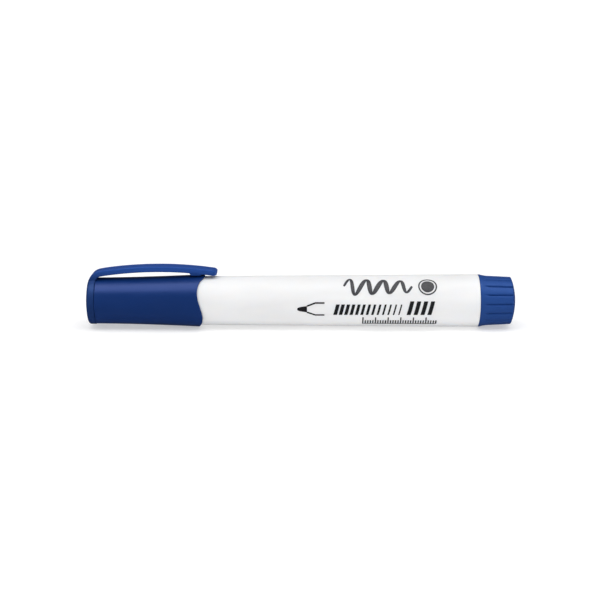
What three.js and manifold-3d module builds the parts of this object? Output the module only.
// A capped whiteboard marker with a fibre ink reservoir, as ten separate pieces.
// Millimetres. +X runs along the axis from the cap's end to the end plug, and +Z is up, through the clip.
// The origin is on the surface that the marker lies on, under the middle of its length.
// A station is a distance along the axis from the cap's end, and a profile is a list of [station, radius].
import * as THREE from "three";
import { mergeVertices } from "three/addons/utils/BufferGeometryUtils.js";
import Module from "manifold-3d";

const wasm = await Module();
wasm.setup();

// Driving dimensions.
const marker = { length: 135, segments: 64 };

const gap = {
  press: 0.06, // radial, between pieces pressed into each other
  slide: 0.1, // radial, between pieces that slide or turn on each other
  face: 0.06, // axial, between faces that meet
  cut: 0.3, // between a moving piece and what it was cut from or stops against
};

const barrel = { frontRadius: 7.72, rearRadius: 8.3, wall: 1.12, edge: 0.2 };

const cap = {
  length: 36.05, // to the mean line of the wavy mouth
  endRadius: 7.3,
  wall: 0.88,
  lipWall: 0.46, // outside the barrel, at the mouth
  overlap: 2.45, // of the mouth over the barrel
  flarePower: 1.65,
  waveHeight: 0.82,
  waves: 3,
  tongueLength: 0.5, // extra length of the mouth under the clip
  tongueFull: 16, // degrees from the clip within which the tongue has its full length
  tongueEnd: 34, // degrees from the clip at which it has faded out
  edge: 0.12,
  ledgeLength: 0.8, // ring that keeps the liner's flange in place
};

const disc = { length: 3.06, radius: 7.42, domeRadius: 35, flatRadius: 2, rim: 1, spigotLength: 0.84 };

const clip = {
  width: 5.5,
  thickness: 1.75,
  tipThickness: 1.7,
  rootRise: 2.6, // outer face above the cap's end radius, at the root
  tipRise: 1.7, // outer face above the cap's mouth, at the tip
  slope: 0.155, // of the outer face at both ends
  rootStart: 0.9,
  rootLength: 3,
  overhang: 5.25, // past the mouth's mean line
  tipRound: 1,
  edge: 0.35,
  footLength: 4.35,
  footBehindMouth: 0.85,
  footGap: 0.12,
};

const liner = {
  clearance: 0.42, // round the liner's wall, in the narrower of the shell and the neck
  wall: 0.7,
  baseThickness: 0.8,
  mouthSetback: 1,
  edge: 0.2,
};

const nose = {
  neckLength: 5.1,
  seatLedge: 0.06, // of the neck beyond the barrel's bore
  beadHeight: 0.1,
  beadAhead: 2.6, // of the barrel's shoulder
  beadHalfLength: 0.5,
  collarLength: 5,
  nozzleWall: 1.15,
  skirtLength: 9.4,
  skirtWall: 0.9,
  edge: 0.3,
  airChannels: 4,
  airChannelRadius: 0.45,
};

const nib = {
  radius: 2.4,
  airShare: 0.306, // ahead of the nib, of the room between the liner's base and the sealing collar
  reachShare: 0.384, // of the nib beyond the nozzle, of the same room
  pointShare: 0.75, // of the reach
  pointPower: 0.55,
  insertLength: 4.8,
  edge: 0.3,
};

const film = { wall: 0.18, setback: 0.2 };

const plug = {
  headLength: 11.6,
  flangeStep: 0.05, // below the barrel's rear radius
  flangeLength: 0.6,
  flareLength: 3.2,
  bodyStep: 0.52, // from the barrel's rear radius down to the grooved body
  draft: 0.3, // taper of the grooved body, on its radius
  domeRadius: 19.75,
  flatRadius: 2,
  rim: 0.28,
  edge: 0.2,
  skirtLength: 10.9,
  skirtWall: 1.2,
  endWall: 1.8,
  grooves: 16,
  groovePhase: -2.35, // degrees from the clip's side to the first groove
  grooveDepth: 0.4,
  grooveHalfWidth: 0.28,
  fins: 4,
  finThickness: 0.8,
  finInnerRadius: 2.8,
};

// Stations, worked out from the cap's end towards the plug's.
const shoulder = cap.length - cap.overlap;
const plugFace = marker.length - plug.headLength;
const barrelEnd = plugFace - gap.face;
const neckStart = shoulder - nose.neckLength;
const collarStart = neckStart - nose.collarLength;
const noseEnd = shoulder + nose.skirtLength;
const plugSkirtStart = plugFace - plug.skirtLength;
const reservoirStart = noseEnd + gap.cut;
const reservoirEnd = plugSkirtStart - gap.cut;
const nibEnd = reservoirStart + nib.insertLength;
const shellStart = disc.length + gap.face;
const capSeat = shoulder - gap.cut;
const spigotEnd = disc.length + disc.spigotLength;
const linerStart = spigotEnd + gap.face;
const linerEnd = neckStart - liner.mouthSetback;
const linerBase = linerStart + liner.baseThickness;
const nibRoom = collarStart - linerBase;
const nibTip = linerBase + nib.airShare * nibRoom;
const nozzleTip = nibTip + nib.reachShare * nibRoom;
const clipTip = cap.length + clip.overhang;
const clipCut = clip.rootStart + clip.rootLength;

// Radii that fit to each other.
const share = (start, end, station) => (station - start) / (end - start);
const between = (a, b, t) => a + (b - a) * t;
const boreAt = (station) =>
  between(barrel.frontRadius, barrel.rearRadius, share(shoulder, barrelEnd, station)) - barrel.wall;
const skirtRadius = Math.min(boreAt(shoulder), boreAt(noseEnd)) - gap.press;
const neckRadius = boreAt(shoulder) + nose.seatLedge;
const shellInner = cap.endRadius - cap.wall;
const linerOuter = Math.min(shellInner, neckRadius) - liner.clearance;
const linerInner = linerOuter - liner.wall;
const collarRadius = linerInner - gap.slide;
const nibBore = nib.radius + gap.press;
const nozzleRadius = nibBore + nose.nozzleWall;
const shellNeck = neckRadius + nose.beadHeight + gap.slide;
const mouthInner = barrel.frontRadius + gap.slide;
const mouthOuter = mouthInner + cap.lipWall;
const reservoirBore = Math.min(boreAt(shoulder), boreAt(reservoirEnd));
const reservoirRadius = reservoirBore - gap.slide - film.wall - gap.press;
const axisHeight = Math.max(barrel.rearRadius, mouthOuter);
const shellOuterAt = (station) =>
  between(cap.endRadius, mouthOuter, share(shellStart, cap.length, station) ** cap.flarePower);

// Geometry helpers.
const radians = THREE.MathUtils.degToRad;
const steps = (count, make) => Array.from({ length: count + 1 }, (_, i) => make(i / count));

// A profile turned about the marker's axis. It starts and ends on the axis, with the outside towards +X.
function turned(profile) {
  const points = profile.map(([station, radius]) => new THREE.Vector2(radius, station));
  return new THREE.LatheGeometry(points, marker.segments).rotateZ(-Math.PI / 2);
}

// The same for a tube, whose profile closes on itself.
const turnedTube = (profile) => turned([...profile, profile[0]]);

// A side outline, given as [station, radius] pairs, made as wide as the clip and rounded along its edges.
function clipSolid(outline, edge) {
  const shape = new THREE.Shape(outline.map(([station, radius]) => new THREE.Vector2(station, radius)));
  const bevel = { bevelThickness: edge, bevelSize: edge, bevelOffset: -edge, bevelSegments: 2 };
  const depth = clip.width - 2 * edge;
  const geometry = new THREE.ExtrudeGeometry(shape, { depth, steps: 1, ...bevel });
  return solid(geometry.translate(0, 0, -depth / 2).rotateX(Math.PI / 2));
}

function solid(geometry) {
  const bare = geometry.clone();
  bare.deleteAttribute("normal");
  bare.deleteAttribute("uv");
  const merged = mergeVertices(bare, 1e-4);
  const vertProperties = new Float32Array(merged.attributes.position.array);
  const triVerts = new Uint32Array(merged.index.array);
  return new wasm.Manifold(new wasm.Mesh({ numProp: 3, vertProperties, triVerts }));
}

function geometryOf(made) {
  const { vertProperties, triVerts } = made.getMesh();
  const geometry = new THREE.BufferGeometry();
  geometry.setAttribute("position", new THREE.BufferAttribute(vertProperties, 3));
  geometry.setIndex(new THREE.BufferAttribute(triVerts, 1));
  geometry.computeVertexNormals();
  return geometry;
}

// Turns a geometry that lies in the clip's plane to an angle about the marker's axis.
const aboutAxis = (geometry, degrees) => geometry.rotateX(radians(degrees));

// The pieces.
function barrelGeometry() {
  const { frontRadius, rearRadius, edge } = barrel;
  return turnedTube([
    [shoulder, frontRadius - edge],
    [shoulder + edge, frontRadius],
    [barrelEnd - edge, rearRadius],
    [barrelEnd, rearRadius - edge],
    [barrelEnd, boreAt(barrelEnd)],
    [shoulder, boreAt(shoulder)],
  ]);
}

function noseGeometry() {
  const { edge, beadHeight, beadHalfLength } = nose;
  const neckEnd = shoulder - gap.face;
  const bead = shoulder - nose.beadAhead;
  const body = turnedTube([
    [nozzleTip, nozzleRadius - edge],
    [nozzleTip + edge, nozzleRadius],
    [collarStart, between(nozzleRadius, collarRadius, 0.5)],
    [collarStart, collarRadius - edge],
    [collarStart + edge, collarRadius],
    [neckStart, collarRadius],
    [neckStart, neckRadius - edge],
    [neckStart + edge, neckRadius],
    [bead - beadHalfLength, neckRadius],
    [bead, neckRadius + beadHeight],
    [bead + beadHalfLength, neckRadius],
    [neckEnd, neckRadius],
    [neckEnd, skirtRadius],
    [noseEnd, skirtRadius],
    [noseEnd, skirtRadius - nose.skirtWall],
    [shoulder, skirtRadius - nose.skirtWall],
    [shoulder, nibBore],
    [nozzleTip, nibBore],
  ]);
  const boreLength = shoulder - nozzleTip + 2 * edge;
  let made = solid(body);
  for (let i = 0; i < nose.airChannels; i++) {
    const channel = new THREE.CylinderGeometry(nose.airChannelRadius, nose.airChannelRadius, boreLength, 10)
      .rotateZ(-Math.PI / 2)
      .translate((nozzleTip + shoulder) / 2, 0, nibBore);
    made = made.subtract(solid(aboutAxis(channel, (360 * i) / nose.airChannels)));
  }
  return geometryOf(made);
}

function nibGeometry() {
  const { radius, pointPower, edge } = nib;
  const pointLength = nib.pointShare * (nozzleTip - nibTip);
  const point = steps(7, (t) => [nibTip + pointLength * t, radius * t ** pointPower]);
  return turned([...point, [nibEnd - edge, radius], [nibEnd, radius - edge], [nibEnd, 0]]);
}

function reservoirGeometry() {
  const socketEnd = nibEnd + gap.cut;
  return turned([
    [socketEnd, 0],
    [socketEnd, nibBore],
    [reservoirStart, nibBore],
    [reservoirStart, reservoirRadius],
    [reservoirEnd, reservoirRadius],
    [reservoirEnd, 0],
  ]);
}

function filmGeometry() {
  const inner = reservoirRadius + gap.press;
  const outer = inner + film.wall;
  const start = reservoirStart + film.setback;
  const end = reservoirEnd - film.setback;
  return turnedTube([[start, outer], [end, outer], [end, inner], [start, inner]]);
}

function plugGeometry() {
  const { edge, rim, draft, flatRadius, domeRadius } = plug;
  const flangeRadius = barrel.rearRadius - plug.flangeStep;
  const bodyRadius = barrel.rearRadius - plug.bodyStep;
  const tailRadius = bodyRadius - draft;
  const flareStart = plugFace + plug.flangeLength;
  const flareEnd = flareStart + plug.flareLength;
  const domeAt = (radius) => marker.length - (radius ** 2 - flatRadius ** 2) / (2 * domeRadius);
  const rimStation = domeAt(tailRadius - rim) - rim;
  const hollow = boreAt(plugSkirtStart) - gap.press - plug.skirtWall;
  const hollowEnd = marker.length - plug.endWall;
  const flare = steps(4, (t) => [
    between(flareStart, flareEnd, t),
    between(bodyRadius, flangeRadius, (1 - t) ** 2),
  ]);
  const dome = steps(4, (t) => between(tailRadius - rim, flatRadius, t)).map((r) => [domeAt(r), r]);
  const body = turned([
    [hollowEnd, 0],
    [hollowEnd, hollow],
    [plugSkirtStart, hollow],
    [plugSkirtStart, boreAt(plugSkirtStart) - gap.press - edge],
    [plugSkirtStart + edge, boreAt(plugSkirtStart) - gap.press],
    [plugFace, boreAt(plugFace) - gap.press],
    [plugFace, flangeRadius - edge],
    [plugFace + edge, flangeRadius],
    ...flare,
    [rimStation, tailRadius],
    ...dome,
    [marker.length, 0],
  ]);

  // A V groove follows the body's draft from the end of the flare past the rim.
  const grooveLength = marker.length - flareEnd + plug.flareLength / 4;
  const slope = Math.atan(draft / (rimStation - flareEnd));
  const vee = new THREE.Shape([
    new THREE.Vector2(0, -plug.grooveDepth),
    new THREE.Vector2(2 * plug.grooveHalfWidth, plug.grooveDepth),
    new THREE.Vector2(-2 * plug.grooveHalfWidth, plug.grooveDepth),
  ]);
  let made = solid(body);
  for (let i = 0; i < plug.grooves; i++) {
    const groove = new THREE.ExtrudeGeometry(vee, { depth: grooveLength, bevelEnabled: false })
      .rotateX(Math.PI / 2)
      .rotateZ(Math.PI / 2)
      .rotateY(slope)
      .translate(marker.length - grooveLength, 0, bodyRadius);
    const turn = plug.groovePhase + (360 * i) / plug.grooves;
    made = made.subtract(solid(aboutAxis(groove, turn)));
  }
  const finHeight = hollow + edge - plug.finInnerRadius;
  const finLength = hollowEnd + edge - plugSkirtStart;
  for (let i = 0; i < plug.fins; i++) {
    const fin = new THREE.BoxGeometry(finLength, plug.finThickness, finHeight)
      .translate(plugSkirtStart + finLength / 2, 0, plug.finInnerRadius + finHeight / 2);
    made = made.add(solid(aboutAxis(fin, (360 * i) / plug.fins)));
  }
  return geometryOf(made);
}

function linerGeometry() {
  const { edge } = liner;
  const flangeRadius = shellInner - gap.press;
  return turned([
    [linerStart, 0],
    [linerStart, flangeRadius],
    [linerBase, flangeRadius],
    [linerBase, linerOuter],
    [linerEnd - edge, linerOuter],
    [linerEnd, linerOuter - edge],
    [linerEnd, linerInner + edge],
    [linerEnd - edge, linerInner],
    [linerBase, linerInner],
    [linerBase, 0],
  ]);
}

// How far along the axis the mouth's rim lies, at an angle in degrees from the clip.
function mouthAt(angle) {
  const fromClip = Math.abs(THREE.MathUtils.euclideanModulo(angle + 180, 360) - 180);
  const wave = cap.waveHeight * Math.cos(radians(cap.waves * angle));
  const faded = THREE.MathUtils.smoothstep(fromClip, cap.tongueFull, cap.tongueEnd);
  return cap.length + wave + cap.tongueLength * (1 - faded);
}

function shellGeometry() {
  const { edge } = cap;
  const ledgeStart = linerBase + gap.face;
  const ledgeEnd = ledgeStart + cap.ledgeLength;
  const flareEnd = cap.length - edge;
  const outside = steps(8, (t) => between(shellStart + edge, flareEnd, t)).map((s) => [s, shellOuterAt(s)]);
  const geometry = turnedTube([
    [shellStart, cap.endRadius - edge],
    ...outside,
    [cap.length, mouthOuter - edge],
    [cap.length, mouthInner],
    [capSeat, mouthInner],
    [capSeat, shellNeck + gap.press],
    [neckStart - edge, shellNeck],
    [ledgeEnd, shellInner],
    [ledgeEnd, linerOuter + gap.slide],
    [ledgeStart, linerOuter + gap.slide],
    [ledgeStart, shellInner],
    [shellStart, shellInner],
  ]);
  // The stretch beyond the seat is drawn out or shortened to the wavy rim.
  const position = geometry.attributes.position;
  for (let i = 0; i < position.count; i++) {
    const station = position.getX(i);
    if (station <= capSeat + edge) continue;
    const angle = THREE.MathUtils.radToDeg(Math.atan2(position.getY(i), position.getZ(i)));
    const along = share(capSeat, cap.length, station);
    position.setX(i, between(capSeat, mouthAt(angle), along));
  }
  return geometry;
}

// The clip's outer face, from the root at t = 0 to the tip at t = 1.
const clipStart = new THREE.Vector2(clipCut, cap.endRadius + clip.rootRise);
const clipEnd = new THREE.Vector2(clipTip, mouthOuter + clip.tipRise);
const clipHandle = (clipTip - clipCut) / 3;
const clipCurve = new THREE.CubicBezierCurve(
  clipStart,
  new THREE.Vector2(clipStart.x + clipHandle, clipStart.y + clipHandle * clip.slope),
  new THREE.Vector2(clipEnd.x - clipHandle, clipEnd.y + clipHandle * clip.slope),
  clipEnd,
);

function discGeometry() {
  const { radius, rim, flatRadius, domeRadius } = disc;
  const rimRadius = radius - rim;
  const domeAt = (r) => (r ** 2 - flatRadius ** 2) / (2 * domeRadius);
  const dome = steps(3, (t) => between(flatRadius, rimRadius, t)).map((r) => [domeAt(r), r]);
  const corner = steps(4, (t) => [
    domeAt(rimRadius) + rim * (1 - Math.cos((t * Math.PI) / 2)),
    rimRadius + rim * Math.sin((t * Math.PI) / 2),
  ]).slice(1);
  const body = turned([
    [0, 0],
    ...dome,
    ...corner,
    [disc.length - cap.edge, radius],
    [disc.length, radius - cap.edge],
    [disc.length, shellInner - gap.press],
    [spigotEnd, shellInner - gap.press],
    [spigotEnd, 0],
  ]);

  // The clip's root rises out of the disc in a quarter ellipse and stops where the clip starts to flex.
  const foot = rimRadius - rim;
  const rise = clipStart.y - rimRadius;
  const outer = steps(8, (t) => [
    clipCut - clip.rootLength * Math.cos((t * Math.PI) / 2),
    rimRadius + rise * Math.sin((t * Math.PI) / 2),
  ]);
  const under = shellStart + gap.cut;
  const root = clipSolid(
    [
      [clip.rootStart, foot],
      ...outer,
      [clipCut, clipStart.y - clip.thickness],
      [under, cap.endRadius + gap.cut],
      [disc.length - gap.face, cap.endRadius + gap.cut],
      [disc.length - gap.face, foot],
    ],
    clip.edge / 2,
  );
  return geometryOf(solid(body).add(root));
}

function clipGeometry() {
  const start = clipCut + gap.cut;
  const points = clipCurve.getPoints(24).filter((p) => p.x > start + gap.cut);
  const outer = [new THREE.Vector2(start, between(clipStart.y, points[0].y, 0.2)), ...points];
  const under = outer.map((p) => {
    const thickness = between(clip.thickness, clip.tipThickness, share(start, clipTip, p.x));
    return new THREE.Vector2(p.x, p.y - thickness);
  });
  const footEnd = cap.length + clip.footBehindMouth;
  const footStart = footEnd - clip.footLength;
  const sole = mouthOuter + clip.footGap;
  const heel = clip.footLength / 5;
  const foot = [
    [footStart, under.find((p) => p.x > footStart).y],
    [footStart + heel, sole + heel / 4],
    [footStart + 2 * heel, sole],
    [footEnd - heel, sole],
    [footEnd - heel / 3, sole + heel / 4],
    [footEnd, under.find((p) => p.x > footEnd).y],
  ];
  const pairs = (list) => list.map((p) => [p.x, p.y]);
  const underside = [
    ...pairs(under.filter((p) => p.x < footStart)),
    ...foot,
    ...pairs(under.filter((p) => p.x > footEnd)),
  ];
  const arm = clipSolid([...pairs(outer).reverse(), ...underside], clip.edge);

  // Seen from above, the tip's corners are rounded.
  const half = clip.width / 2;
  const { tipRound } = clip;
  const plan = new THREE.Shape()
    .moveTo(start - half, -half)
    .lineTo(clipTip - tipRound, -half)
    .absarc(clipTip - tipRound, tipRound - half, tipRound, -Math.PI / 2, 0)
    .absarc(clipTip - tipRound, half - tipRound, tipRound, 0, Math.PI / 2)
    .lineTo(start - half, half);
  const height = clipStart.y * 2;
  const blank = new THREE.ExtrudeGeometry(plan, { depth: height, bevelEnabled: false, curveSegments: 4 });
  return geometryOf(arm.intersect(solid(blank)));
}

// The materials: white and blue mouldings, felt and film.
const finishes = {
  whitePlastic: { color: 0xf4f4f4, roughness: 0.4 },
  linerPlastic: { color: 0xeceeee, roughness: 0.5 },
  shellPlastic: { color: 0x142e62, roughness: 0.3 },
  trimPlastic: { color: 0x2b4f93, roughness: 0.55 },
  felt: { color: 0x16306e, roughness: 0.95 },
  fibre: { color: 0x24418a, roughness: 0.9 },
  film: { color: 0xdfe4ea, roughness: 0.25 },
};

const pieces = [
  ["barrel", barrelGeometry, finishes.whitePlastic],
  ["front_section", noseGeometry, finishes.linerPlastic],
  ["nib", nibGeometry, finishes.felt],
  ["ink_reservoir", reservoirGeometry, finishes.fibre],
  ["reservoir_film", filmGeometry, finishes.film],
  ["end_plug", plugGeometry, finishes.trimPlastic],
  ["inner_cap", linerGeometry, finishes.linerPlastic],
  ["cap_shell", shellGeometry, finishes.shellPlastic],
  ["cap_end_disc", discGeometry, finishes.trimPlastic],
  ["pocket_clip", clipGeometry, finishes.trimPlastic],
];

const axis = new THREE.Group();
axis.position.set(-marker.length / 2, 0, axisHeight);
for (const [name, geometry, finish] of pieces) {
  const mesh = new THREE.Mesh(geometry(), new THREE.MeshStandardMaterial({ metalness: 0, ...finish }));
  mesh.name = name;
  axis.add(mesh);
}

const whiteboardMarker = new THREE.Group();
whiteboardMarker.add(axis);
export default whiteboardMarker;
